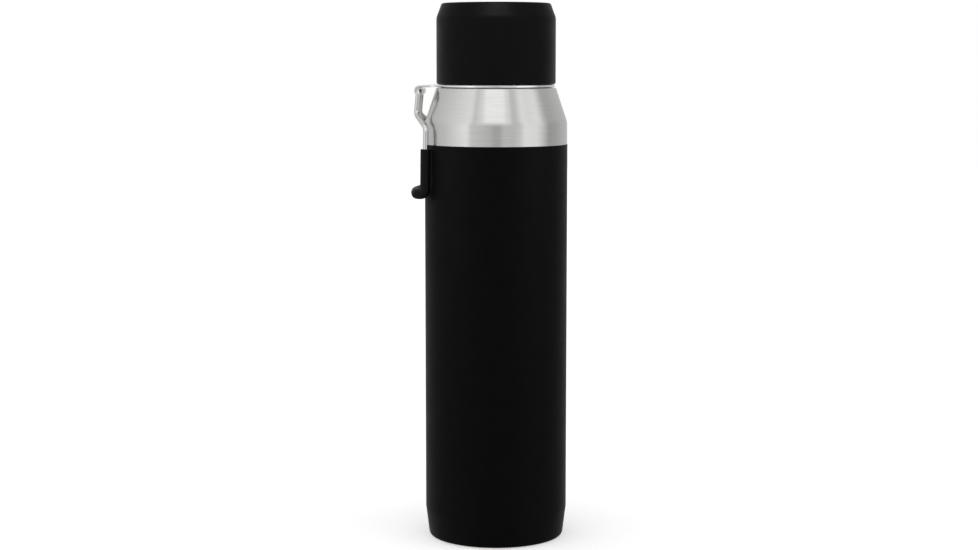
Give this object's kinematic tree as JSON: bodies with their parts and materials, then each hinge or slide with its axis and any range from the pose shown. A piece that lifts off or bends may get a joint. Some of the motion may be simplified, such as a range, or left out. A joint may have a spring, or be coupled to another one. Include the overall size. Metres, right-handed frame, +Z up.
{
  "type": "vacuum growler",
  "caption": "Slim double-walled steel growler with a tapered foot, brushed shoulder, insulated screw lid and a swivelling wire bail handle with a rubber grip.",
  "frame": {"origin": "middle of the flat face of the foot pad that the growler stands on", "axes": "+Z up along the vessel's axis; the handle hangs on the -X side, its pivot along Y"},
  "size_m": [0.0976, 0.089, 0.335],
  "materials": {
    "bare_steel": "horizontally brushed stainless steel",
    "coat": "fine-textured matte black powder coat",
    "hidden_steel": "plain drawn stainless steel",
    "liner_steel": "electropolished stainless steel",
    "seal_glass": "fused sealing glass",
    "getter_metal": "sintered grey metal",
    "pad_rubber": "matte rubber",
    "copper_foil": "bright copper foil",
    "nylon": "black nylon",
    "clip_steel": "spring steel",
    "ring_steel": "polished stainless steel",
    "wire_steel": "polished stainless steel wire",
    "grip_rubber": "moulded matte black rubber",
    "silicone": "translucent white silicone",
    "lid_coat": "fine-textured matte black coat",
    "lid_plastic": "moulded black polypropylene",
    "foam": "rigid polyurethane foam"
  },
  "bodies": {
    "vessel": {"outer_shell": "bare_steel", "powder_coat": "coat", "vacuum_base": "hidden_steel", "vacuum_plug": "seal_glass", "getter": "getter_metal", "foot_pad": "pad_rubber", "inner_liner": "liner_steel", "liner_neck": "liner_steel", "liner_base": "liner_steel", "radiation_foil": "copper_foil", "ring_washer": "nylon", "retaining_clip": "clip_steel"},
    "ring": {"swivel_ring": "ring_steel"},
    "handle": {"bail_wire": "wire_steel", "bail_grip": "grip_rubber"},
    "seal": {"lid_gasket": "silicone"},
    "lid": {"lid_shell": "lid_coat", "lid_liner": "lid_plastic", "lid_foam": "foam", "plug_foam": "foam", "plug_cover": "lid_plastic"}
  },
  "joints": [
    {"name": "ring_swivel", "type": "hinge", "parent": "vessel", "child": "ring", "pos_m": [0, 0, 0.2834], "axis": [0, 0, 1], "continuous": true},
    {"name": "handle_pivot", "type": "hinge", "parent": "ring", "child": "handle", "pos_m": [-0.0475, 0, 0.2812], "axis": [0, 1, 0], "range_deg": [0, 180]},
    {"name": "lid_rise", "type": "slide", "parent": "vessel", "child": "seal", "axis": [0, 0, 1], "range_m": [0, 0.0321]},
    {"name": "lid_turn", "type": "hinge", "parent": "seal", "child": "lid", "pos_m": [0, 0, 0.285], "axis": [0, 0, 1], "range_deg": [0, 1440]}
  ],
  "couplings": [
    {"joint": "lid_rise", "follows": "lid_turn", "m_per_rad": 0.0012732}
  ]
}
